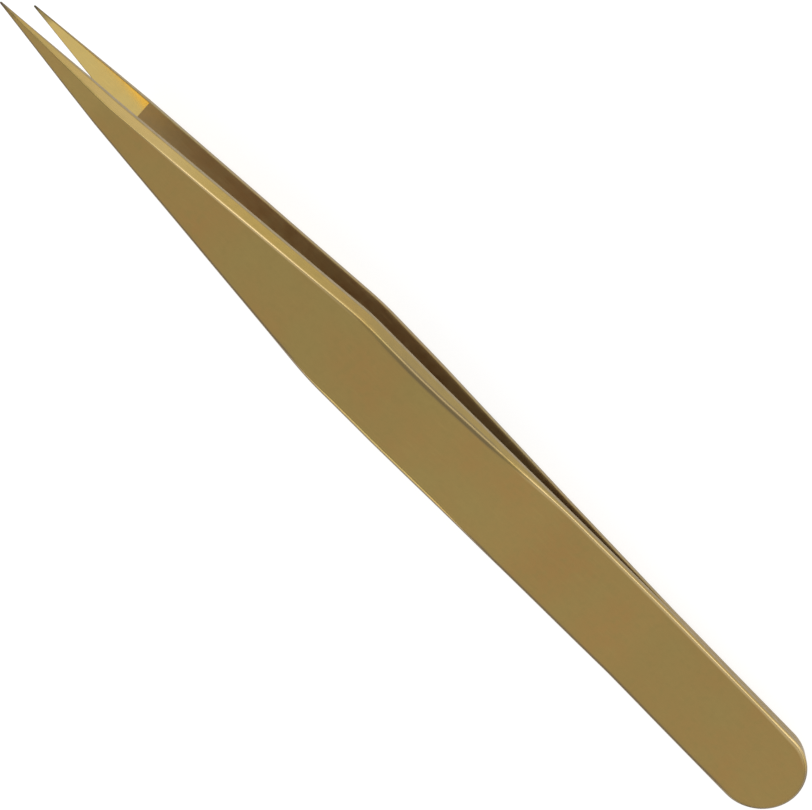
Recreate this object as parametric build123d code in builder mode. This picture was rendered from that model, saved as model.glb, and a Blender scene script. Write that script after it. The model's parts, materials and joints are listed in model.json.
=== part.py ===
"""Watchmaker tweezers: two ground brass blades joined face to face at the heel.

Millimetres. The tweezers lie on the outer face of the lower blade, as they come to rest on a table,
touching it at the belly and at the heel end. +X runs from the heel to the tips, +Y across the blades
and +Z up. The origin is on the table, under the middle of the tweezers' length.

The blades are drawn in the closing plane, the plane in which their inner faces meet when squeezed
shut. Its own x runs along the tweezers from the heel end, y across them and z up.
"""
from build123d import *
from math import asin, atan2, cos, hypot, radians, sin, tan
import os

# Plan: the outline seen from above
overall_length = 125.0
blade_width = 10.4
taper_length = 52.0  # from the shoulder to the tips
point_length = 12.0  # the last stretch, ground a little steeper
point_width = 2.7  # where that stretch begins
tip_width = 0.24
shoulder_radius = 30.0

# Bow: how far apart the inner faces stand along the tweezers
weld_length = 25.0  # from the heel end, where the blades touch
spring_length = 17.0  # from the weld, the first gentle stretch of the bow
spring_gap = 2.1  # at the end of the spring
flare_length = 21.0  # from the spring, the steeper stretch
belly_gap = 5.3  # at the end of the flare
jaw_length = 17.0  # from the tips, the inner faces ground flat for gripping
jaw_gap = 8.1  # at the crease where the ground jaws begin
tip_gap = 8.0
bend_radius = 60.0  # of each bend of the bow
crease_radius = 4.0  # of the crease at the jaws

# Thickness of one blade
spring_thickness = 1.3
body_thickness = 2.6
nose_length = 16.5  # from the tips, where the outer face starts down to them
nose_radius = 15.0
fine_length = 6.0  # from the tips, the last and finest stretch
fine_thickness = 1.1
tip_thickness = 0.25

# Long edges: an upright land above the inner face, then a bevel that leans in to the outer face
land_height = 0.95
tip_land_height = 0.12
bevel_angle = 20.0  # from upright
bevel_corner_radius = 45.0  # of the bevel's bends in plan

# Working sizes
half_width = blade_width / 2
bevel_slope = tan(radians(bevel_angle))
clear_of_blade = 3.0  # how far a cutting outline stands outside the blade
run_share = 0.45  # of a straight run, the most that the rounding of one corner takes
heel_joint = weld_length / 2  # where the rounded heel is carried on by the bowed blade
spring_end = weld_length + spring_length
belly = spring_end + flare_length
jaw_start = overall_length - jaw_length
nose = overall_length - nose_length
fine_start = overall_length - fine_length


def height_at(line, x):
    """Height of a broken line of (x, height) points at x."""
    for (x0, h0), (x1, h1) in zip(line, line[1:]):
        if x <= x1:
            return h0 + (h1 - h0) * (x - x0) / (x1 - x0)
    return line[-1][1]


def corner_radii(line, radii):
    """The radii wanted at a broken line's corners, each no larger than its two runs leave room for."""
    fitting = []
    for (x0, y0), (x1, y1), (x2, y2), radius in zip(line, line[1:], line[2:], radii):
        turn = abs(atan2(y2 - y1, x2 - x1) - atan2(y1 - y0, x1 - x0))
        room = run_share * min(x1 - x0, x2 - x1)
        fitting.append(min(radius, room / tan(turn / 2)))
    return fitting


# The upper blade's inner face, as heights above the closing plane
inner_line = [
    (0, 0),
    (weld_length, 0),
    (spring_end, spring_gap / 2),
    (belly, belly_gap / 2),
    (jaw_start, jaw_gap / 2),
    (overall_length, tip_gap / 2),
]
inner_radii = corner_radii(inner_line, [bend_radius, bend_radius, bend_radius, crease_radius])

# Its outer face, one blade thickness further out
outer_line = [
    (0, spring_thickness),
    (weld_length, spring_thickness),
    (spring_end, height_at(inner_line, spring_end) + spring_thickness),
    (belly, height_at(inner_line, belly) + body_thickness),
    (nose, height_at(inner_line, nose) + body_thickness),
    (fine_start, height_at(inner_line, fine_start) + fine_thickness),
    (overall_length, tip_gap / 2 + tip_thickness),
]
outer_radii = corner_radii(
    outer_line, [bend_radius, bend_radius, bend_radius, nose_radius, nose_radius]
)

# Its long edge in plan, as distances from the middle
edge_line = [
    (0, half_width),
    (overall_length - taper_length, half_width),
    (overall_length - point_length, point_width / 2),
    (overall_length, tip_width / 2),
]
edge_radii = corner_radii(edge_line, [shoulder_radius, shoulder_radius])

# The height of its edge land, which fades out towards the tips
land_line = [(0, land_height), (nose, land_height), (overall_length, tip_land_height)]


def bevel_reach(x):
    """How far from the middle the leaning bevel plane meets the closing plane at x."""
    land_top = height_at(inner_line, x) + height_at(land_line, x)
    return height_at(edge_line, x) + land_top * bevel_slope


# How the tweezers lie: the table touches the heel end and, as a tangent, the bend at the belly
heel_chamfer = (spring_thickness - land_height) * bevel_slope
heel_foot = (heel_chamfer, spring_thickness)
rise_before = atan2(
    outer_line[3][1] - outer_line[2][1], outer_line[3][0] - outer_line[2][0]
)
rise_after = atan2(
    outer_line[4][1] - outer_line[3][1], outer_line[4][0] - outer_line[3][0]
)
belly_radius = outer_radii[2]
belly_tangent = belly_radius * tan((rise_before - rise_after) / 2)
belly_centre = (
    outer_line[3][0] - belly_tangent * cos(rise_before) + belly_radius * sin(rise_before),
    outer_line[3][1] - belly_tangent * sin(rise_before) - belly_radius * cos(rise_before),
)
foot_to_centre = (belly_centre[0] - heel_foot[0], belly_centre[1] - heel_foot[1])
rest_pitch = atan2(foot_to_centre[1], foot_to_centre[0]) + asin(
    belly_radius / hypot(*foot_to_centre)
)

# The closing plane rises towards the tips by the rest pitch
heel_height = heel_foot[1] * cos(rest_pitch) - heel_foot[0] * sin(rest_pitch)
length_on_table = overall_length * cos(rest_pitch) + tip_gap / 2 * sin(rest_pitch)
closing_plane = Plane(
    origin=(-length_on_table / 2, 0, heel_height),
    x_dir=(cos(rest_pitch), 0, sin(rest_pitch)),
    z_dir=(-sin(rest_pitch), 0, cos(rest_pitch)),
)
side_plane = Plane(origin=closing_plane.origin, x_dir=closing_plane.x_dir, z_dir=(0, -1, 0))


# The heel end: a flat plate with a round end, bevelled round its outer edge
with BuildPart() as heel_plate:
    with BuildSketch(closing_plane) as heel_outline:
        with BuildLine():
            sides = Polyline(
                (half_width, half_width),
                (heel_joint, half_width),
                (heel_joint, -half_width),
                (half_width, -half_width),
            )
            RadiusArc(sides @ 1, sides @ 0, half_width)
        make_face()
    extrude(amount=spring_thickness)
    outer_face = heel_plate.faces().sort_by(Axis(closing_plane.origin, closing_plane.z_dir))[-1]
    long_axis = Axis(closing_plane.origin, closing_plane.x_dir)
    outer_rim = outer_face.edges().sort_by(long_axis)[:-1]
    chamfer(
        outer_rim,
        length=heel_chamfer,
        length2=spring_thickness - land_height,
        reference=outer_face,
    )


# The room inside one bevel: its outline in the closing plane, swept up along the bevel's lean
bevel_stations = sorted({x for line in (inner_line, edge_line, land_line) for x, _ in line})
bevel_outline = [(x, bevel_reach(x)) for x in bevel_stations]
bevel_radii = corner_radii(bevel_outline, [bevel_corner_radius] * len(bevel_stations))
blade_top = max(height for _, height in outer_line) + clear_of_blade

with BuildPart() as bevel_room:
    with BuildSketch(closing_plane) as bevel_outside:
        with BuildLine():
            bevel_edge = FilletPolyline(*bevel_outline, radius=bevel_radii)
            Polyline(
                bevel_edge @ 1,
                (overall_length + clear_of_blade, bevel_reach(overall_length)),
                (overall_length + clear_of_blade, -blade_width),
                (0, -blade_width),
                bevel_edge @ 0,
            )
        make_face()
    extrude(
        amount=blade_top / cos(radians(bevel_angle)),
        dir=closing_plane.z_dir * cos(radians(bevel_angle))
        - closing_plane.y_dir * sin(radians(bevel_angle)),
    )


# The upper blade: its side profile, cut to its plan and bevelled along both edges
with BuildPart() as upper_blade:
    with BuildSketch(side_plane) as side_profile:
        with BuildLine():
            inner_face = FilletPolyline(
                (heel_joint, 0), *inner_line[1:], radius=inner_radii
            )
            outer_face_line = FilletPolyline(
                (heel_joint, spring_thickness), *outer_line[1:], radius=outer_radii
            )
            Line(inner_face @ 0, outer_face_line @ 0)
            Line(inner_face @ 1, outer_face_line @ 1)
        make_face()
    extrude(amount=half_width, both=True)

    with BuildSketch(closing_plane) as blade_outline:
        with BuildLine():
            long_edge = FilletPolyline(
                (0, half_width),
                *edge_line[1:-1],
                (overall_length - tip_width / 2, tip_width / 2),
                radius=edge_radii,
            )
            ThreePointArc(
                long_edge @ 1,
                (overall_length, 0),
                (overall_length - tip_width / 2, -tip_width / 2),
            )
            mirror(long_edge, about=Plane.XZ)
            Line((0, half_width), (0, -half_width))
        make_face()
    extrude(amount=blade_top, mode=Mode.INTERSECT)

    add(bevel_room.part, mode=Mode.INTERSECT)
    mirror(bevel_room.part, about=side_plane, mode=Mode.INTERSECT)
    add(heel_plate.part)
upper_blade.part.label = "upper_blade"


# The lower blade: the same blade turned over, its inner face against the upper one's at the heel
with BuildPart() as lower_blade:
    mirror(upper_blade.part, about=closing_plane)
lower_blade.part.label = "lower_blade"


os.makedirs("parts", exist_ok=True)
export_step(upper_blade.part, "parts/upper_blade.step")
export_step(lower_blade.part, "parts/lower_blade.step")
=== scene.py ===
"""Watchmaker tweezers: the finished surfaces of two ground brass blades, their light and their camera.

The frame holds the two blades as plain solids. Here each one is replaced by a piece of the same form,
with its edges rounded and its faces satin, ground or polished as on the real tweezers.

A blade is drawn in the closing plane, the plane in which the two inner faces meet when squeezed shut:
x runs from the heel end to the tips, y across the blade and z up from the plane. Sizes are millimetres
there, and metres once a piece is in its place in the frame.
"""
import json
import logging
from dataclasses import dataclass
from enum import Enum
from functools import cached_property
from math import atan, atan2, cos, pi, radians, sin, sqrt, tan, tau

import bpy
from mathutils import Matrix, Vector


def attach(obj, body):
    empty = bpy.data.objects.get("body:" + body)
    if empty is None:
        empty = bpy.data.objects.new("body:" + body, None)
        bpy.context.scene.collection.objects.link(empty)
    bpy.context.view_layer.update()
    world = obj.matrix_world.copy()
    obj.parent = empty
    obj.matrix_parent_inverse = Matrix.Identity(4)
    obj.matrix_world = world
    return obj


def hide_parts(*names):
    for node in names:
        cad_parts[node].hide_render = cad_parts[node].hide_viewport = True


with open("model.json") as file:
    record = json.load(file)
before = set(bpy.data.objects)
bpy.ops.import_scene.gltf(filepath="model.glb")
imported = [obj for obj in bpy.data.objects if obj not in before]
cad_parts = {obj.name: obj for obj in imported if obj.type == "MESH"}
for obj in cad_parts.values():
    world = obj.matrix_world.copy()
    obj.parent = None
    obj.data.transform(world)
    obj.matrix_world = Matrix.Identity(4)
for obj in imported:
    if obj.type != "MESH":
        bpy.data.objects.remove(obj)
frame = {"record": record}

LOG = logging.getLogger("tweezers")
MM = 0.001  # metres in a millimetre
PAINTED_LIGHT = "painted_light"  # the attribute that holds the painted light of the edges and bevels: 1 is a painted highlight, -1 is painted shade

WELD_DISTANCE = 1e-6  # metres, within which points are one
END_TOLERANCE = 1e-7  # metres, short of the farthest point, that still count as the end

MIX_SHARE = 0  # the Mix node's sockets for colours, whose names its other sockets share
MIX_FIRST = 6
MIX_SECOND = 7
MIX_RESULT = 2

INNER_STEPS = 4  # facets round each kind of edge
LAND_STEPS = 3
OUTER_STEPS = 6
INNER_FACE_CUTS = (0.4, 0.75, 0.95)  # of the way out from the middle
LAND_CUTS = (0.1, 0.5, 0.9)  # of the way up
BEVEL_CUTS = (0.08, 0.35, 0.65, 0.92)
OUTER_FACE_CUTS = (0.05, 0.2, 0.45, 0.7)  # of the way in to the middle

OUTER_TO_BEVEL = 1.1  # the most that an edge's radius is, as a share of the narrow surface beside it
OUTER_TO_FACE = 0.6
LAND_TO_LAND = 1.5
INNER_TO_LAND = 0.4

Colour = tuple[float, float, float]
Point = tuple[float, float]
Span = tuple[float, float]  # from one value to another


class Zone(Enum):
    """The surfaces of a blade, as its section meets them from the inner face round to the outer face."""

    INNER_FACE = "inner_face"
    INNER_EDGE = "inner_edge"
    LAND = "land"
    LAND_EDGE = "land_edge"
    BEVEL = "bevel"
    OUTER_EDGE = "outer_edge"
    OUTER_FACE = "outer_face"
    JAW = "jaw"


def ramp(value: float, start: float, end: float) -> float:
    """How far a value has come from start to end, held between 0 and 1."""
    return min(1.0, max(0.0, (value - start) / (end - start)))


@dataclass(frozen=True)
class BrokenLine:
    """A line of straight runs with rounded corners, as a height over x.

    Attributes:
        points: The ends and corners of the runs, as (x, height).
        radii: The radius of each corner. Without them the corners are sharp.
    """

    points: tuple[Point, ...]
    radii: tuple[float, ...] = ()

    def straight(self, x: float) -> float:
        """Height of the line at x before its corners are rounded."""
        for (x0, h0), (x1, h1) in zip(self.points, self.points[1:]):
            if x <= x1:
                return h0 + (h1 - h0) * (x - x0) / (x1 - x0)
        return self.points[-1][1]

    @cached_property
    def corners(self) -> list[tuple[float, float, float]]:
        """Each corner's x, its change of slope and the reach of its rounding to either side."""
        found = []
        for (x0, h0), (x1, h1), (x2, h2), radius in zip(
            self.points, self.points[1:], self.points[2:], self.radii
        ):
            before = (h1 - h0) / (x1 - x0)
            after = (h2 - h1) / (x2 - x1)
            reach = radius * tan(abs(atan(after) - atan(before)) / 2)
            found.append((x1, after - before, reach))
        return found

    def height(self, x: float) -> float:
        """Height of the line at x with its corners rounded.

        Args:
            x: The place along the blade.

        Returns:
            The height, on a gentle curve that leaves each run at the corner's reach.
        """
        height = self.straight(x)
        for corner_x, turn, reach in self.corners:
            inside = reach - abs(x - corner_x)
            if inside > 0:
                height += turn * inside * inside / (4 * reach)
        return height


@dataclass(frozen=True)
class Corner:
    """One corner of a blade's section and how it is rounded.

    Attributes:
        place: Where its two sides would meet, as (y, z).
        radius: The radius of its rounding.
        steps: The number of facets round it.
    """

    place: Point
    radius: float
    steps: int


@dataclass(frozen=True)
class BladeForm:
    """The driving sizes of a blade, in millimetres, and the section that they give at any place.

    The sizes down to the bevel are the solid's. The ones after it finish the blade.

    Attributes:
        inner_edge_radius: Of the edges along the inner face.
        land_edge_radius: Where the land turns into the bevel.
        outer_edge_radius: Of the edges along the outer face, where they are crisp.
        soft_edge_radius: Of the same edges at mid-length.
        heel_edge_share: How much rounder than crisp they are at the heel.
        soft_from: Where they start to soften and are soft, from the end of the spring.
        soft_to: Where they start to sharpen and are crisp, from the shoulder.
        finish_depth: What grinding and polishing took off the outer face and the sides.
    """

    overall_length: float = 125.0
    blade_width: float = 10.4
    taper_length: float = 52.0
    point_length: float = 12.0
    point_width: float = 2.7
    tip_width: float = 0.24
    shoulder_radius: float = 30.0

    weld_length: float = 25.0
    spring_length: float = 17.0
    spring_gap: float = 2.1
    flare_length: float = 21.0
    belly_gap: float = 5.3
    jaw_length: float = 17.0
    jaw_gap: float = 8.1
    tip_gap: float = 8.0
    bend_radius: float = 60.0
    crease_radius: float = 4.0

    spring_thickness: float = 1.3
    body_thickness: float = 2.6
    nose_length: float = 16.5
    nose_radius: float = 15.0
    fine_length: float = 6.0
    fine_thickness: float = 1.1
    tip_thickness: float = 0.25

    land_height: float = 0.95
    tip_land_height: float = 0.12
    bevel_angle: float = 20.0
    bevel_corner_radius: float = 45.0

    inner_edge_radius: float = 0.10
    land_edge_radius: float = 0.45
    outer_edge_radius: float = 0.17
    soft_edge_radius: float = 0.60
    heel_edge_share: float = 2.0
    soft_from: Span = (2.0, 12.0)
    soft_to: Span = (-4.0, 6.0)
    finish_depth: float = 0.01

    @property
    def half_width(self) -> float:
        """Half the blade's width, which is also the radius of its round heel."""
        return self.blade_width / 2

    @property
    def bevel_slope(self) -> float:
        """How far the bevel leans in for each millimetre up."""
        return tan(radians(self.bevel_angle))

    @property
    def spring_end(self) -> float:
        """Where the gentle stretch of the bow ends."""
        return self.weld_length + self.spring_length

    @property
    def belly(self) -> float:
        """Where the steeper stretch of the bow ends."""
        return self.spring_end + self.flare_length

    @property
    def jaw_start(self) -> float:
        """Where the jaw is ground flat."""
        return self.overall_length - self.jaw_length

    @property
    def nose(self) -> float:
        """Where the outer face starts down to the tip."""
        return self.overall_length - self.nose_length

    @cached_property
    def inner_line(self) -> BrokenLine:
        """The inner face in side view."""
        return BrokenLine(
            points=(
                (0.0, 0.0),
                (self.weld_length, 0.0),
                (self.spring_end, self.spring_gap / 2),
                (self.belly, self.belly_gap / 2),
                (self.jaw_start, self.jaw_gap / 2),
                (self.overall_length, self.tip_gap / 2),
            ),
            radii=(self.bend_radius,) * 3 + (self.crease_radius,),
        )

    @cached_property
    def outer_line(self) -> BrokenLine:
        """The outer face in side view, one blade thickness further out."""
        inner = self.inner_line.straight
        fine_start = self.overall_length - self.fine_length
        return BrokenLine(
            points=(
                (0.0, self.spring_thickness),
                (self.weld_length, self.spring_thickness),
                (self.spring_end, inner(self.spring_end) + self.spring_thickness),
                (self.belly, inner(self.belly) + self.body_thickness),
                (self.nose, inner(self.nose) + self.body_thickness),
                (fine_start, inner(fine_start) + self.fine_thickness),
                (self.overall_length, self.tip_gap / 2 + self.tip_thickness),
            ),
            radii=(self.bend_radius,) * 3 + (self.nose_radius,) * 2,
        )

    @cached_property
    def edge_line(self) -> BrokenLine:
        """The long edge in plan, as a distance from the middle."""
        return BrokenLine(
            points=(
                (0.0, self.half_width),
                (self.overall_length - self.taper_length, self.half_width),
                (self.overall_length - self.point_length, self.point_width / 2),
                (self.overall_length, self.tip_width / 2),
            ),
            radii=(self.shoulder_radius, self.shoulder_radius),
        )

    @cached_property
    def land_line(self) -> BrokenLine:
        """The height of the upright land, which fades out towards the tip."""
        return BrokenLine(
            points=(
                (0.0, self.land_height),
                (self.nose, self.land_height),
                (self.overall_length, self.tip_land_height),
            ),
        )

    @cached_property
    def reach_line(self) -> BrokenLine:
        """Where the leaning bevel plane meets the closing plane, as a distance from the middle."""
        lines = (self.inner_line, self.edge_line, self.land_line)
        places = sorted({x for line in lines for x, _ in line.points})
        reach = tuple(
            (x, self.edge_line.straight(x) + self.land_top(x) * self.bevel_slope) for x in places
        )
        return BrokenLine(points=reach, radii=(self.bevel_corner_radius,) * (len(reach) - 2))

    @cached_property
    def outer_radius_line(self) -> BrokenLine:
        """The radius of the outer edge: soft round the heel and, where the buff dwelt, at mid-length."""
        crisp, soft = self.outer_edge_radius, self.soft_edge_radius
        heel = self.heel_edge_share * crisp
        shoulder = self.overall_length - self.taper_length
        return BrokenLine(
            points=(
                (0.0, heel),
                (self.half_width, heel),
                (self.blade_width, crisp),
                (self.spring_end + self.soft_from[0], crisp),
                (self.spring_end + self.soft_from[1], soft),
                (shoulder + self.soft_to[0], soft),
                (shoulder + self.soft_to[1], crisp),
                (self.overall_length, crisp),
            ),
        )

    def land_top(self, x: float) -> float:
        """Height of the land's upper line above the closing plane at x."""
        return self.inner_line.straight(x) + self.land_line.straight(x)

    def tip_share(self, x: float) -> float:
        """How much of its width the blade keeps at x, below one only in the round of the very tip."""
        radius = self.tip_width / 2
        past = (x - (self.overall_length - radius)) / radius
        return sqrt(max(0.0, 1 - past * past)) if past > 0 else 1.0

    def corners(self, x: float, wander: float = 0.0) -> tuple[Point, Corner, Corner, Corner, Point]:
        """The section's half outline at x, from the inner face's middle to the outer face's.

        Args:
            x: The place along the blade.
            wander: How far the hand-ground bevel strays outwards there.

        Returns:
            The inner middle, the inner, land and outer corners, and the outer middle, as (y, z).
        """
        share = self.tip_share(x)
        inner = self.inner_line.height(x)
        outer = self.outer_line.height(x) - self.finish_depth
        edge = self.edge_line.height(x) - self.finish_depth
        reach = self.reach_line.height(x) - self.finish_depth + wander
        land_top = min(max((reach - edge) / self.bevel_slope, inner), outer)
        top = (reach - outer * self.bevel_slope) * share
        edge *= share
        land = land_top - inner
        bevel = (outer - land_top) / cos(radians(self.bevel_angle))
        outer_radius = min(
            self.outer_radius_line.straight(x), OUTER_TO_BEVEL * bevel, OUTER_TO_FACE * top
        )
        land_radius = min(self.land_edge_radius, bevel, LAND_TO_LAND * land)
        inner_radius = min(self.inner_edge_radius, INNER_TO_LAND * edge, INNER_TO_LAND * land)
        return (
            (0.0, inner),
            Corner((edge, inner), inner_radius, INNER_STEPS),
            Corner((edge, land_top), land_radius, LAND_STEPS),
            Corner((top, outer), outer_radius, OUTER_STEPS),
            (0.0, outer),
        )


def rounded(before: Point, corner: Corner, after: Point) -> list[Point]:
    """The arc that rounds a corner.

    Args:
        before: The point that the outline comes from.
        corner: The corner, its radius and its number of facets.
        after: The point that the outline goes on to.

    Returns:
        The arc's points, from the first tangent point to the last.
    """
    place = Vector(corner.place)
    back = (Vector(before) - place).normalized()
    onward = (Vector(after) - place).normalized()
    half_angle = back.angle(onward) / 2
    centre = place + (back + onward).normalized() * (corner.radius / sin(half_angle))
    first = place + back * (corner.radius / tan(half_angle)) - centre
    last = place + onward * (corner.radius / tan(half_angle)) - centre
    sweep = pi - 2 * half_angle
    points = []
    for step in range(corner.steps + 1):
        turn = sweep * step / corner.steps
        arm = (first * sin(sweep - turn) + last * sin(turn)) / sin(sweep)
        points.append(tuple(centre + arm))
    return points


def between(start: Point, end: Point, shares: tuple[float, ...]) -> list[Point]:
    """Points on the straight way from start to end, at the given shares of it."""
    return [
        (start[0] + (end[0] - start[0]) * share, start[1] + (end[1] - start[1]) * share)
        for share in shares
    ]


def half_section(form: BladeForm, x: float, wander: float) -> list[tuple[Point, Zone]]:
    """Half of the blade's section, on its +y side.

    Args:
        form: The blade's sizes.
        x: The place along the blade.
        wander: How far the bevel strays outwards there.

    Returns:
        Each point as (y, z) with the zone of the stretch that it starts.
    """
    start, inner, land, outer, end = form.corners(x, wander)
    inner_arc = rounded(start, inner, land.place)
    land_arc = rounded(inner.place, land, outer.place)
    outer_arc = rounded(land.place, outer, end)
    stretches = (
        (Zone.INNER_FACE, [start, *between(start, inner_arc[0], INNER_FACE_CUTS)]),
        (Zone.INNER_EDGE, inner_arc[:-1]),
        (Zone.LAND, [inner_arc[-1], *between(inner_arc[-1], land_arc[0], LAND_CUTS)]),
        (Zone.LAND_EDGE, land_arc[:-1]),
        (Zone.BEVEL, [land_arc[-1], *between(land_arc[-1], outer_arc[0], BEVEL_CUTS)]),
        (Zone.OUTER_EDGE, outer_arc[:-1]),
        (Zone.OUTER_FACE, [outer_arc[-1], *between(outer_arc[-1], end, OUTER_FACE_CUTS)]),
    )
    points = [(point, zone) for zone, run in stretches for point in run]
    return [*points, (end, Zone.OUTER_FACE)]


@dataclass(frozen=True)
class Station:
    """Where a rib of the blade's skin stands.

    Attributes:
        x: The place along the blade.
        turn: In the round heel, the angle in radians that each half of the rib is swung back.
    """

    x: float
    turn: float = 0.0


class NodeBoard:
    """Adds and links the nodes of one material."""

    def __init__(self, name: str) -> None:
        """Starts a new material with nothing but its output and its metal shader."""
        self.material = bpy.data.materials.new(name)
        self.material.use_nodes = True
        self.tree = self.material.node_tree
        self.shader = self.tree.nodes["Principled BSDF"]

    def add(self, kind: str, **settings: object) -> bpy.types.Node:
        """Adds a node of a kind, with its options set."""
        node = self.tree.nodes.new(kind)
        for name, value in settings.items():
            setattr(node, name, value)
        return node

    def feed(self, socket: bpy.types.NodeSocket, value: object) -> None:
        """Links an output to a socket, or sets the socket's own value."""
        if isinstance(value, bpy.types.NodeSocket):
            self.tree.links.new(value, socket)
        else:
            socket.default_value = value

    def place(self, output: str, scale: tuple[float, float, float]) -> bpy.types.NodeSocket:
        """Coordinates on the piece, stretched by a scale.

        Args:
            output: The output of the Texture Coordinate node to read, Object or UV.
            scale: The stretch along each axis.

        Returns:
            The stretched coordinates.
        """
        source = self.add("ShaderNodeTexCoord")
        mapping = self.add("ShaderNodeMapping")
        self.feed(mapping.inputs["Vector"], source.outputs[output])
        self.feed(mapping.inputs["Scale"], scale)
        return mapping.outputs["Vector"]

    def noise(
        self, place: bpy.types.NodeSocket, scale: float, detail: float = 2.0
    ) -> bpy.types.NodeSocket:
        """Cloudy values around one half.

        Args:
            place: The coordinates to read.
            scale: How many clouds there are to each unit.
            detail: How many finer layers are added.

        Returns:
            The value, from 0 to 1.
        """
        node = self.add("ShaderNodeTexNoise")
        self.feed(node.inputs["Vector"], place)
        self.feed(node.inputs["Scale"], scale)
        self.feed(node.inputs["Detail"], detail)
        return node.outputs[0]

    def fit(
        self, value: bpy.types.NodeSocket, source: Span, target: Span = (0.0, 1.0)
    ) -> bpy.types.NodeSocket:
        """Maps a value from one range to another, and holds it there.

        Args:
            value: The value to map.
            source: The range that it comes in.
            target: The range that it leaves in.

        Returns:
            The mapped value.
        """
        node = self.add("ShaderNodeMapRange")
        self.feed(node.inputs["Value"], value)
        for name, number in zip(("From Min", "From Max", "To Min", "To Max"), (*source, *target)):
            self.feed(node.inputs[name], number)
        return node.outputs["Result"]

    def combine(
        self, first: object, second: object, operation: str = "MULTIPLY"
    ) -> bpy.types.NodeSocket:
        """Multiplies two values, or combines them by another operation."""
        node = self.add("ShaderNodeMath", operation=operation)
        self.feed(node.inputs[0], first)
        self.feed(node.inputs[1], second)
        return node.outputs[0]

    def mix(self, share: bpy.types.NodeSocket, first: object, second: object) -> bpy.types.NodeSocket:
        """Goes from a first colour to a second by a share from 0 to 1."""
        node = self.add("ShaderNodeMix", data_type="RGBA")
        self.feed(node.inputs[MIX_SHARE], share)
        for place, value in ((MIX_FIRST, first), (MIX_SECOND, second)):
            self.feed(node.inputs[place], (*value, 1.0) if isinstance(value, tuple) else value)
        return node.outputs[MIX_RESULT]

    def bump(self, height: bpy.types.NodeSocket, depth: float) -> bpy.types.NodeSocket:
        """Turns a height into a surface direction.

        Args:
            height: The height, from 0 to 1.
            depth: What a height of 1 stands for, in metres.

        Returns:
            The direction for the shader.
        """
        node = self.add("ShaderNodeBump")
        self.feed(node.inputs["Height"], height)
        self.feed(node.inputs["Distance"], depth)
        return node.outputs["Normal"]


@dataclass(frozen=True)
class FlatMap:
    """The flat map of a blade's skin, which its grinding marks follow, in millimetres.

    Attributes:
        span: How much of it the unit square of the UV map holds.
        margin: What is left free before the heel end, and below the first lane.
        first_lane: The middle of the first zone's lane, in blade widths.
        lane_pitch: From one zone's lane to the next, in blade widths.
        other_side: From an edge's strip on one side of the blade to its strip on the other.
    """

    span: float = 140.0
    margin: float = 8.0
    first_lane: float = 0.6
    lane_pitch: float = 1.1
    other_side: float = 5.0

    def to_unit(self, along: float, across: float) -> Point:
        """A place on the map as UV coordinates."""
        return (along + self.margin) / self.span, (across + self.margin) / self.span


@dataclass(frozen=True)
class Pattern:
    """A pattern in the metal.

    Attributes:
        to_mm: How many of its marks there are to a millimetre, or to one stretched mark.
        detail: How many finer layers it has.
        shown: The values of its noise between which it fades in.
        strength: How strongly it shows.
    """

    to_mm: float
    detail: float
    shown: Span = (0.0, 1.0)
    strength: float = 1.0


CLOUDS = Pattern(to_mm=1.0, detail=2.5, shown=(0.35, 0.65))
PATCHES = Pattern(to_mm=1.1, detail=4.0, shown=(0.45, 0.75), strength=0.7)
SPECKS = Pattern(to_mm=7.0, detail=3.0, shown=(0.62, 0.75), strength=0.6)
GRAIN = Pattern(to_mm=1.0, detail=3.0, shown=(0.58, 0.72), strength=0.6)
RAGGED_TIP = Pattern(to_mm=0.9, detail=3.0, strength=2.5)  # its strength is in millimetres
ROUGH_PATCHES = (0.12, 0.4)  # the values of patches and grain together that span the roughness
SPECK_HEIGHT = 0.35  # of a speck, as a share of the grain's depth


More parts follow.
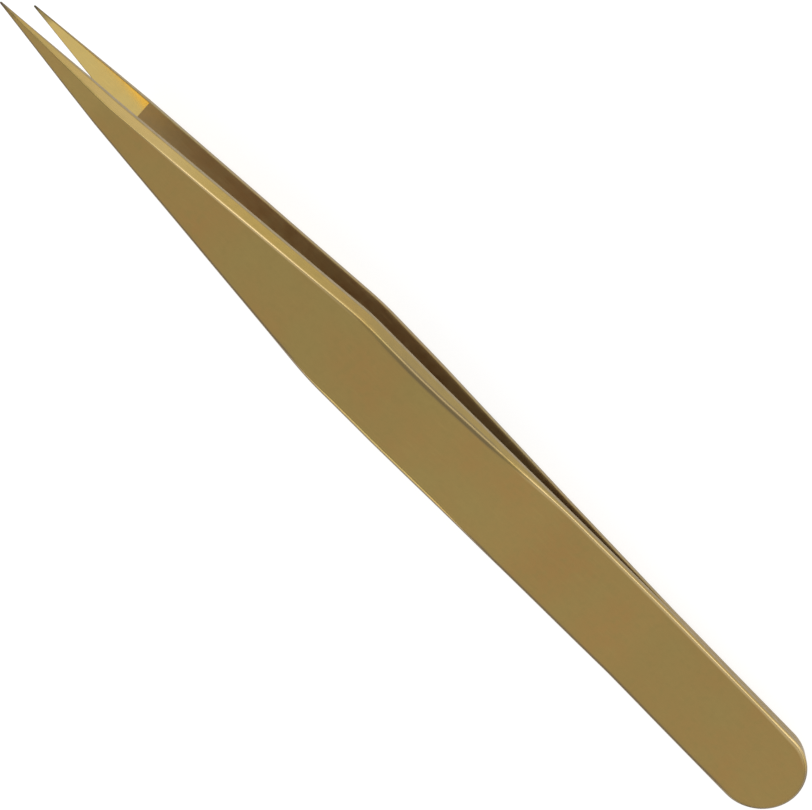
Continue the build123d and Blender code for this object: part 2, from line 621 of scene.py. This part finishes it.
@dataclass(frozen=True)
class BrassFinish:
    """A finish of the brass, with its tarnish, its grain and its scratches.

    Attributes:
        name: The material's name.
        tone: The metal's own colour.
        warm: The colour of its warmer clouds of tarnish.
        cloud_size: The breadth of those clouds, in millimetres.
        mottle: How far small patches darken the colour, from 0 to 1.
        roughness: The lowest and highest roughness of its patches.
        grain_length: The length of a grinding mark, in millimetres.
        grain_width: Its width.
        grain_depth: Its depth.
        scratch_share: How much brighter the sparse long scratches are, from 0 to 1.
        tip_tone: The colour of the heat-darkened tip.
        tip_fade: Where the tip starts to darken and where it is darkest, in millimetres past its end.
            The ragged line of the tarnish reaches back from there.
        painted_highlight: The colour of the painted highlight, where the painted light is 1.
        painted_shade: The colour of the painted shade, where the painted light is -1.
    """

    name: str
    tone: Colour
    warm: Colour
    cloud_size: float = 9.0
    mottle: float = 0.12
    roughness: Span = (0.34, 0.42)
    grain_length: float = 3.0
    grain_width: float = 0.12
    grain_depth: float = 0.0006
    scratch_share: float = 0.15
    tip_tone: Colour = (0.10, 0.085, 0.065)
    tip_fade: Span = (-1.6, 1.4)
    # The colours of the painted light on the edges and bevels: a painted highlight at 1 and painted
    # shade at -1.
    painted_highlight: Colour = (0.74, 0.56, 0.28)
    painted_shade: Colour = (0.19, 0.145, 0.09)

    def material(self, sheet: FlatMap, length: float) -> bpy.types.Material:
        """Makes the material.

        Args:
            sheet: The flat map of the pieces that wear it.
            length: The blade's length, in millimetres.

        Returns:
            The new material.
        """
        board = NodeBoard(self.name)
        body = board.place("Object", (1 / MM,) * 3)
        along = board.place(
            "UV", (sheet.span / self.grain_length, sheet.span / self.grain_width, 1.0)
        )
        clouds = board.fit(board.noise(body, 1 / self.cloud_size, CLOUDS.detail), CLOUDS.shown)
        patches = board.noise(body, PATCHES.to_mm, PATCHES.detail)
        specks = board.noise(body, SPECKS.to_mm, SPECKS.detail)
        grain = board.noise(along, GRAIN.to_mm, GRAIN.detail)

        dark = tuple(part * (1 - self.mottle) for part in self.tone)
        light = tuple(min(1.0, part * (1 + self.scratch_share)) for part in self.tone)
        colour = board.mix(clouds, self.tone, self.warm)
        for value, pattern, tone in (
            (patches, PATCHES, dark),
            (specks, SPECKS, dark),
            (grain, GRAIN, light),
        ):
            share = board.fit(value, pattern.shown, (0.0, pattern.strength))
            colour = board.mix(share, colour, tone)

        split = board.add("ShaderNodeSeparateXYZ")
        board.feed(split.inputs[0], board.place("UV", (sheet.span,) * 3))
        ragged = board.noise(body, RAGGED_TIP.to_mm, RAGGED_TIP.detail)
        reach = board.combine(
            split.outputs["X"], board.combine(ragged, RAGGED_TIP.strength), "ADD"
        )
        start, end = (sheet.margin + length + past for past in self.tip_fade)
        colour = board.mix(board.fit(reach, (start, end)), colour, self.tip_tone)
        # Painted light on the edges and bevels: a painted highlight where the attribute is above 0, and
        # painted shade where it is below 0.
        painted_edge_light = board.add("ShaderNodeAttribute", attribute_name=PAINTED_LIGHT).outputs["Fac"]
        colour = board.mix(board.fit(painted_edge_light, (0.0, 1.0)), colour, self.painted_highlight)
        colour = board.mix(board.fit(painted_edge_light, (0.0, -1.0)), colour, self.painted_shade)

        board.feed(board.shader.inputs["Base Color"], colour)
        board.feed(board.shader.inputs["Metallic"], 1.0)
        rough = board.fit(board.combine(patches, grain), ROUGH_PATCHES, self.roughness)
        board.feed(board.shader.inputs["Roughness"], rough)
        height = board.combine(grain, board.combine(specks, SPECK_HEIGHT), "ADD")
        board.feed(board.shader.inputs["Normal"], board.bump(height, self.grain_depth * MM))
        return board.material


SATIN_BRASS = BrassFinish(
    name="satin_brass",
    tone=(0.400, 0.290, 0.100),
    warm=(0.430, 0.268, 0.092),
    mottle=0.10,
    roughness=(0.36, 0.44),
    grain_depth=0.0008,
    scratch_share=0.06,
)
GROUND_BEVEL = BrassFinish(
    name="ground_bevel",
    tone=(0.405, 0.290, 0.078),
    warm=(0.425, 0.280, 0.072),
    cloud_size=14.0,
    roughness=(0.24, 0.34),
    grain_length=6.0,
    grain_width=0.10,
    grain_depth=0.0015,
    scratch_share=0.25,
)
OUTER_EDGE = BrassFinish(
    name="outer_edge",
    # Its tone is darker than the satin face's to dim the reflection that the rounded edge catches:
    # painted shade.
    tone=(0.36, 0.27, 0.095),
    warm=(0.38, 0.26, 0.09),
    cloud_size=6.0,
    roughness=(0.22, 0.32),
    grain_depth=0.0008,
)
SHEARED_LAND = BrassFinish(
    name="sheared_land",
    tone=(0.29, 0.215, 0.085),
    warm=(0.30, 0.205, 0.08),
    roughness=(0.36, 0.46),
    grain_length=5.0,
    grain_width=0.14,
    grain_depth=0.0015,
)
DULL_INNER = BrassFinish(
    name="dull_inner_face",
    tone=(0.36, 0.26, 0.12),
    warm=(0.37, 0.24, 0.11),
    roughness=(0.34, 0.44),
    grain_depth=0.0008,
)
POLISHED_JAW = BrassFinish(
    name="polished_jaw",
    tone=(0.90, 0.68, 0.24),
    warm=(0.92, 0.66, 0.22),
    cloud_size=5.0,
    mottle=0.06,
    roughness=(0.14, 0.22),
    grain_length=2.5,
    grain_width=0.08,
    grain_depth=0.0006,
)

FINISHES: dict[Zone, BrassFinish] = {
    Zone.INNER_FACE: DULL_INNER,
    Zone.INNER_EDGE: SHEARED_LAND,
    Zone.LAND: SHEARED_LAND,
    Zone.LAND_EDGE: SHEARED_LAND,
    Zone.BEVEL: GROUND_BEVEL,
    Zone.OUTER_EDGE: OUTER_EDGE,
    Zone.OUTER_FACE: SATIN_BRASS,
    Zone.JAW: POLISHED_JAW,
}


@dataclass(frozen=True)
class ClosingPlane:
    """The closing plane's place in the frame, read from the mount on top of the heel.

    Attributes:
        form: The blade's sizes.
        mount: The mount's name.
        mount_x: How far it stands from the heel end, in millimetres.
    """

    form: BladeForm
    mount: str = "heel_top"
    mount_x: float = 12.0

    @cached_property
    def matrix(self) -> Matrix:
        """From millimetres in the closing plane to metres in the frame, as a place and a turn."""
        mount = next(m for m in frame["record"]["mounts"] if m["name"] == self.mount)
        up = Vector(mount["axis"]).normalized()
        along = Vector((0, 1, 0)).cross(up)
        origin = (
            Vector(mount["pos_m"])
            - along * self.mount_x * MM
            - up * self.form.spring_thickness * MM
        )
        turn = Matrix((along, (0, 1, 0), up)).transposed().to_4x4()
        return Matrix.Translation(origin) @ turn


@dataclass(frozen=True)
class PaintedEdgeLight:
    """Painted light on the outer edges and the bevels: 1 is a painted highlight, 0 is the finish as it
    is, and -1 is painted shade.

    The edge towards the camera carries a painted highlight along most of its length, with painted shade
    at mid-length. The far edge and the end of the heel carry painted shade.

    Attributes:
        near_edge: The painted light of the edge towards the camera, over x.
        bevel: The painted light of both bevels, over x: painted shade at mid-length and a faint painted
            highlight towards the point.
        far_edge: The painted shade of the far edge.
        far_fade: How far over the far edge its painted shade starts to fade and has faded, in
            millimetres.
        heel_fade: The angles round the heel between which the near edge becomes like the far one.
    """

    near_edge: BrokenLine = BrokenLine(
        points=(
            (5.0, 0.75),
            (12.0, 0.65),
            (18.0, 0.85),
            (24.0, 0.75),
            (46.0, 0.65),
            (54.0, -0.6),
            (66.0, -0.6),
            (80.0, 0.65),
            (88.0, 1.0),
            (98.0, 0.8),
            (104.0, 0.2),
            (110.0, 0.0),
            (125.0, 0.0),
        ),
    )
    bevel: BrokenLine = BrokenLine(
        points=(
            (5.0, 0.0),
            (30.0, -0.2),
            (46.0, -0.3),
            (54.0, -0.35),
            (66.0, -0.45),
            (74.0, -0.25),
            (86.0, 0.0),
            (94.0, 0.05),
            (101.0, 0.25),
            (110.0, 0.2),
            (118.0, 0.05),
            (125.0, 0.0),
        ),
    )
    far_edge: float = -1.0
    far_fade: Span = (0.28, 0.42)
    heel_fade: Span = (radians(12), radians(50))

    def at(self, x: float, turn: float, near: bool, over: float) -> float:
        """The painted light of the outer edge.

        Args:
            x: The place along the blade.
            turn: How far round the heel it is, in radians.
            near: Whether it is on the side towards the camera.
            over: How far over the edge it is from the bevel, in millimetres.

        Returns:
            The wear, from -1 to 1.
        """
        far = self.far_edge * (1 - ramp(over, *self.far_fade))
        if not near:
            return far
        share = ramp(turn, *self.heel_fade)
        return self.near_edge.straight(x) * (1 - share) + far * share


@dataclass
class Blade:
    """One blade, skinned over ribs that run round the heel and on to the tip.

    Attributes:
        form: The blade's sizes.
        name: The piece's name.
        node: The solid that it stands for, which is also its material slot.
        side: 1 for the blade above the closing plane, and -1 for the one below.
        wander_phase: Where the slow waves of its hand-ground bevels start, in radians.
        painted_light: The painted highlight and painted shade of its edges and bevels.
        sheet: The flat map of its skin.
        heel_ribs: How many ribs swing round each half of the heel.
        rib_spacing: From rib to rib along the blade.
        bend_ribs: How many ribs stand on each side of the middle of a bend.
        point_spacing: From rib to rib in the point.
        tip_ribs: How many ribs round off the very tip.
        least_spacing: Ribs that would stand closer than this are left out.
        wander: How far the waves stray inwards at most.
        long_wave: The long wave's length, over a full turn in radians.
        short_wave: The short wave's length, likewise.
        short_share: The short wave's height, as a share of the long one's.
        phase_step: The short wave's phase, as a share of the long one's.
        wander_ease: Over how much of the blade the waves rise from the heel and die at the nose.
    """

    form: BladeForm
    name: str
    node: str
    side: int
    wander_phase: float
    # The painted highlight and painted shade of the edges and bevels.
    painted_light: PaintedEdgeLight = PaintedEdgeLight()
    sheet: FlatMap = FlatMap()
    heel_ribs: int = 20
    rib_spacing: float = 0.9
    bend_ribs: int = 5
    point_spacing: float = 0.35
    tip_ribs: int = 4
    least_spacing: float = 0.02
    wander: float = 0.02
    long_wave: float = 5.3
    short_wave: float = 2.3
    short_share: float = 0.7
    phase_step: float = 2.1
    wander_ease: Span = (15.0, 10.0)

    @cached_property
    def stations(self) -> list[Station]:
        """The ribs' places, from the middle of the round heel to the tip."""
        form = self.form
        heel = form.half_width
        swung = [
            Station(heel, (pi / 2) * (1 - step / self.heel_ribs)) for step in range(self.heel_ribs)
        ]
        last = form.overall_length - form.tip_width / 2
        point = form.overall_length - form.point_length
        count = round((last - heel) / self.rib_spacing)
        places = {heel + (last - heel) * step / count for step in range(count + 1)}
        lines = (form.inner_line, form.outer_line, form.edge_line, form.reach_line)
        for line in lines:
            for corner_x, _, reach in line.corners:
                for step in range(-self.bend_ribs, self.bend_ribs + 1):
                    places.add(corner_x + reach * step / self.bend_ribs)
        fine = round((last - point) / self.point_spacing)
        places.update(point + (last - point) * step / fine for step in range(fine))
        for step in range(1, self.tip_ribs + 1):
            turn = (pi / 2) * step / (self.tip_ribs + 1)
            places.add(last + form.tip_width / 2 * sin(turn))
        kept: list[float] = []
        for x in sorted(places):
            if heel <= x and (not kept or x - kept[-1] > self.least_spacing):
                kept.append(x)
        return swung + [Station(x) for x in kept]

    def stray(self, x: float) -> float:
        """How far the hand-ground bevel strays outwards at x, in slow waves that die at the ends."""
        rise, fall = self.wander_ease
        start, end = self.form.half_width, self.form.nose
        room = min(ramp(x, start, start + rise), 1 - ramp(x, end - fall, end))
        waves = sin(x / self.long_wave + self.wander_phase)
        waves += self.short_share * sin(x / self.short_wave + self.phase_step * self.wander_phase)
        return self.wander * room * (waves - 1 - self.short_share) / 2

    def ring(self, station: Station) -> list[Vector]:
        """The rib at a station, all round, in the closing plane.

        Args:
            station: Where the rib stands.

        Returns:
            Its points, from the middle of the inner face over the +y side and back.
        """
        half = [point for point, _ in half_section(self.form, station.x, self.stray(station.x))]
        points = [self.swing(station, y, z) for y, z in half]
        back = [self.swing(station, -y, z) for y, z in reversed(half[1:-1])]
        return points + back

    @cached_property
    def rings(self) -> list[list[Vector]]:
        """Every rib, all round, in the order of the stations."""
        return [self.ring(station) for station in self.stations]

    def swing(self, station: Station, y: float, z: float) -> Vector:
        """Puts a point of the section in its place, swung back round the heel's middle."""
        return Vector((station.x - abs(y) * sin(station.turn), y * cos(station.turn), self.side * z))

    @cached_property
    def zones(self) -> list[Zone]:
        """The zone of each stretch of the ring, in its order."""
        half = [zone for _, zone in half_section(self.form, self.form.half_width, 0.0)][:-1]
        return half + half[::-1]

    def extrude_blank(self) -> bpy.types.Object:
        """Draws a straight round blank, one ring of points for each rib.

        Returns:
            The blank, with ring number k standing at x = k.
        """
        bpy.ops.object.select_all(action="DESELECT")
        bpy.ops.mesh.primitive_circle_add(
            vertices=len(self.zones),
            radius=1.0,
            fill_type="NOTHING",
            calc_uvs=False,
            rotation=(0, pi / 2, 0),
        )
        blank = bpy.context.object
        bpy.ops.object.transform_apply(location=False, rotation=True, scale=False)
        bpy.ops.object.mode_set(mode="EDIT")
        bpy.ops.mesh.select_all(action="SELECT")
        for _ in self.stations[1:]:
            bpy.ops.mesh.extrude_region_move(TRANSFORM_OT_translate={"value": (1.0, 0.0, 0.0)})
        bpy.ops.object.mode_set(mode="OBJECT")
        return blank

    def places_in(self, blank: bpy.types.Object) -> list[tuple[int, int]]:
        """Reads the rib and the point of the ring that each vertex of the blank stands for."""
        count = len(self.zones)
        start = blank.data.vertices[0].co
        first = atan2(start.z, start.y)
        places = []
        for vertex in blank.data.vertices:
            share = (atan2(vertex.co.z, vertex.co.y) - first) / tau
            places.append((round(vertex.co.x), round(share * count) % count))
        return places

    def map_point(self, rib: int, point: int, zone: Zone) -> Point:
        """Where a point of the skin lies on the flat map, in millimetres.

        The inner and outer faces lie there as seen from above. Each edge, land and bevel is a strip
        along the map, so that its grinding marks follow it round the heel and down to the tip.

        Args:
            rib: The rib's number.
            point: The point's number in the ring.
            zone: The zone of the face that asks.

        Returns:
            The place on the map.
        """
        count = len(self.zones)
        station = self.stations[rib]
        ring = self.rings[rib]
        step = self.sheet.first_lane + self.sheet.lane_pitch * list(Zone).index(zone)
        lane = self.form.blade_width * step
        if zone in (Zone.INNER_FACE, Zone.OUTER_FACE, Zone.JAW):
            return ring[point].x, lane + ring[point].y
        along = station.x - self.form.half_width * station.turn
        across = (ring[min(point, count - point)] - ring[self.zones.index(zone)]).length
        if point > count // 2:
            across += self.sheet.other_side
        return along, lane + across

    def skin(self, blank: bpy.types.Object) -> None:
        """Moves the blank's rings to their ribs, and gives each face its zone and its map."""
        mesh = blank.data
        places = self.places_in(blank)
        count = len(self.zones)
        zone_list = list(Zone)
        layer = mesh.uv_layers.new(name="UVMap")
        for polygon in mesh.polygons:
            corners = [places[index] for index in polygon.vertices]
            points = sorted({point for _, point in corners})
            stretch = points[-1] if points == [0, count - 1] else points[0]
            zone = self.zones[stretch]
            middle = sum(self.rings[rib][point].x for rib, point in corners) / len(corners)
            if zone is Zone.INNER_FACE and middle > self.form.jaw_start:
                zone = Zone.JAW
            polygon.material_index = zone_list.index(zone)
            for loop, (rib, point) in zip(polygon.loop_indices, corners):
                layer.data[loop].uv = self.sheet.to_unit(*self.map_point(rib, point, zone))
        for vertex, (rib, point) in zip(mesh.vertices, places):
            vertex.co = self.rings[rib][point] * MM
        self.age(mesh, places)

    def age(self, mesh: bpy.types.Mesh, places: list[tuple[int, int]]) -> None:
        """Writes the painted highlight and painted shade of the edges and bevels.

        Args:
            mesh: The skin.
            places: The rib and the point of the ring that each vertex stands for.
        """
        count = len(self.zones)
        bevel_start = self.zones.index(Zone.BEVEL)
        edge_start = self.zones.index(Zone.OUTER_EDGE)
        painted_light = mesh.attributes.new(name=PAINTED_LIGHT, type="FLOAT", domain="POINT")
        for vertex, (rib, point) in zip(mesh.vertices, places):
            station = self.stations[rib]
            half = min(point, count - point)
            if bevel_start < half < edge_start:
                painted_light.data[vertex.index].value = self.painted_light.bevel.straight(station.x)
            elif edge_start <= half <= edge_start + OUTER_STEPS:
                near = point > count // 2
                start = edge_start if point == half else count - edge_start
                over = (self.rings[rib][point] - self.rings[rib][start]).length
                painted_light.data[vertex.index].value = self.painted_light.at(station.x, station.turn, near, over)

    def close_up(self, piece: bpy.types.Object) -> None:
        """Joins the two halves of the heel, closes the tip and turns every face outwards."""
        end = max(vertex.co.x for vertex in piece.data.vertices)
        for vertex in piece.data.vertices:
            vertex.select = vertex.co.x > end - END_TOLERANCE
        bpy.ops.object.mode_set(mode="EDIT")
        bpy.ops.mesh.select_mode(type="VERT")
        bpy.ops.mesh.edge_face_add()
        bpy.ops.mesh.select_all(action="SELECT")
        bpy.ops.mesh.remove_doubles(threshold=WELD_DISTANCE)
        bpy.ops.mesh.normals_make_consistent(inside=False)
        bpy.ops.object.mode_set(mode="OBJECT")

    def dress(self, piece: bpy.types.Object, materials: dict[str, bpy.types.Material]) -> None:
        """Gives each zone its finish, in the order of the zones."""
        for zone in Zone:
            piece.data.materials.append(materials[FINISHES[zone].name])

    def build(
        self, plane: ClosingPlane, materials: dict[str, bpy.types.Material]
    ) -> bpy.types.Object:
        """Makes the blade, puts it in its place and ties it to the frame.

        Args:
            plane: The closing plane's place in the frame.
            materials: The finishes, by name.

        Returns:
            The finished piece.
        """
        piece = self.extrude_blank()
        piece.name = self.name
        piece.data.name = self.name
        self.dress(piece, materials)
        self.skin(piece)
        self.close_up(piece)
        bpy.ops.object.shade_smooth_by_angle(angle=radians(30), keep_sharp_edges=False)
        piece.matrix_world = plane.matrix
        bpy.ops.object.transform_apply(location=True, rotation=True, scale=False)
        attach(piece, "root")
        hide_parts(self.node)
        LOG.info("%s: %d faces", self.name, len(piece.data.polygons))
        return piece


@dataclass(frozen=True)
class Softbox:
    """A soft lamp at the side of the table.

    Attributes:
        name: The lamp's name.
        azimuth: Where it stands round the table, in degrees from the side of the camera.
        width: Its width, in metres.
        power: Its power, in watts.
        elevation: How high it stands above the table, in degrees.
        distance: How far it stands from the tweezers, in metres.
        height: Its height.
    """

    name: str
    azimuth: float
    width: float
    power: float
    elevation: float = 25.0
    distance: float = 1.6
    height: float = 0.9

    def light(self) -> bpy.types.Object:
        """Adds the lamp, facing the tweezers."""
        turn, rise = radians(self.azimuth), radians(self.elevation)
        away = Vector((sin(turn) * cos(rise), -cos(turn) * cos(rise), sin(rise)))
        data = bpy.data.lights.new(self.name, "AREA")
        data.shape = "RECTANGLE"
        data.size = self.width
        data.size_y = self.height
        data.energy = self.power
        lamp = bpy.data.objects.new(self.name, data)
        bpy.context.scene.collection.objects.link(lamp)
        lamp.location = away * self.distance
        lamp.rotation_mode = "QUATERNION"
        lamp.rotation_quaternion = away.to_track_quat("Z", "Y")
        lamp.visible_camera = False
        return lamp


@dataclass(frozen=True)
class Studio:
    """The plain pale table and the soft light round it.

    Attributes:
        sky: The strength of the white sky.
        table_size: The length of the table's sides, in metres.
        table_colour: How pale its grey is, from 0 to 1.
        table_roughness: How dull it is.
        table_glow: How strongly it shines by itself, which brings it up to white.
        boxes: The lamps.
    """

    sky: float = 0.62
    table_size: float = 6.0
    table_colour: float = 0.35
    table_roughness: float = 0.9
    table_glow: float = 0.76
    boxes: tuple[Softbox, ...] = (
        Softbox("front_box", azimuth=0.0, width=2.4, power=10.0),
        Softbox("back_box", azimuth=180.0, width=2.4, power=10.0),
        Softbox("tip_box", azimuth=90.0, width=2.0, power=6.0),
        Softbox("heel_box", azimuth=-90.0, width=2.0, power=6.0),
    )

    def build(self) -> None:
        """Adds the sky, the table and the lamps."""
        scene = bpy.context.scene
        scene.view_settings.view_transform = "Standard"
        world = bpy.data.worlds.new("studio")
        world.use_nodes = True
        background = world.node_tree.nodes["Background"]
        background.inputs["Color"].default_value = (1.0, 1.0, 1.0, 1.0)
        background.inputs["Strength"].default_value = self.sky
        scene.world = world
        self.table()
        for box in self.boxes:
            box.light()

    def table(self) -> bpy.types.Object:
        """Adds the table top that the tweezers lie on."""
        bpy.ops.object.select_all(action="DESELECT")
        bpy.ops.mesh.primitive_plane_add(size=self.table_size)
        table = bpy.context.object
        table.name = "table_top"
        board = NodeBoard("pale_table")
        white = (1.0, 1.0, 1.0, 1.0)
        board.feed(board.shader.inputs["Base Color"], (*(self.table_colour,) * 3, 1.0))
        board.feed(board.shader.inputs["Roughness"], self.table_roughness)
        board.feed(board.shader.inputs["Specular IOR Level"], 0.0)
        board.feed(board.shader.inputs["Emission Color"], white)
        board.feed(board.shader.inputs["Emission Strength"], self.table_glow)
        table.data.materials.append(board.material)
        return table


@dataclass(frozen=True)
class PhotoCamera:
    """The camera, placed as it stood for the photograph.

    Attributes:
        form: The blade's sizes.
        distance: From the middle of the closing plane, in millimetres.
        tilt: How far it stands over to the near side, in degrees from straight above.
        lean: How far it stands over towards the tips.
        roll: How far the tweezers are turned from the picture's diagonal.
        aim: How far it aims past the middle, along the tweezers and across them.
        focal_length: In pixels of the picture.
        picture_width: In pixels.
        sensor_width: Of Blender's camera, in millimetres.
        clip: From how near to how far it sees, in metres.
    """

    form: BladeForm
    distance: float = 150.6
    tilt: float = 17.35
    lean: float = 2.34
    roll: float = -0.71
    aim: Point = (0.58, -0.28)
    focal_length: float = 1334.0
    picture_width: float = 812.0
    sensor_width: float = 36.0
    clip: Span = (0.01, 20.0)

    def build(self, plane: ClosingPlane) -> bpy.types.Object:
        """Adds the camera and makes it the scene's own.

        Args:
            plane: The closing plane's place in the frame.

        Returns:
            The camera.
        """
        tilt, lean, roll = radians(self.tilt), radians(self.lean), radians(self.roll)
        along = Vector((cos(lean), sin(lean) * sin(tilt), sin(lean) * cos(tilt)))
        across = Vector((0.0, -cos(tilt), sin(tilt)))
        forward = Vector((sin(lean), -cos(lean) * sin(tilt), -cos(lean) * cos(tilt)))
        place = -forward * self.distance - along * self.aim[0] - across * self.aim[1]
        right = (along - across) / sqrt(2)
        up = -(along + across) / sqrt(2)
        # The numbers above run from the tips and towards the camera, so both are turned over here.
        turned = Matrix.Diagonal((-1.0, -1.0, 1.0)) @ Matrix.Rotation(-roll, 3, "Z")
        middle = Vector((self.form.overall_length / 2, 0.0, 0.0))
        axes = Matrix((turned @ right, turned @ up, turned @ -forward)).transposed().to_4x4()
        local = Matrix.Translation((middle + turned @ place) * MM) @ axes
        data = bpy.data.cameras.new("photo_camera")
        data.sensor_width = self.sensor_width
        data.lens = self.focal_length * self.sensor_width / self.picture_width
        data.clip_start, data.clip_end = self.clip
        camera = bpy.data.objects.new("photo_camera", data)
        bpy.context.scene.collection.objects.link(camera)
        camera.matrix_world = plane.matrix @ local
        bpy.context.scene.camera = camera
        return camera


def main() -> None:
    """Builds the tweezers, their light and their camera."""
    logging.basicConfig(level=logging.INFO, format="%(name)s: %(message)s")
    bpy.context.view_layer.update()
    form = BladeForm()
    plane = ClosingPlane(form)
    materials = {
        finish.name: finish.material(FlatMap(), form.overall_length)
        for finish in dict.fromkeys(FINISHES.values())
    }
    for blade in (
        Blade(form, "upper_blade_finished", "upper_blade", side=1, wander_phase=0.4),
        Blade(form, "lower_blade_finished", "lower_blade", side=-1, wander_phase=2.3),
    ):
        blade.build(plane, materials)
    Studio().build()
    PhotoCamera(form).build(plane)


if __name__ == "__main__":
    main()
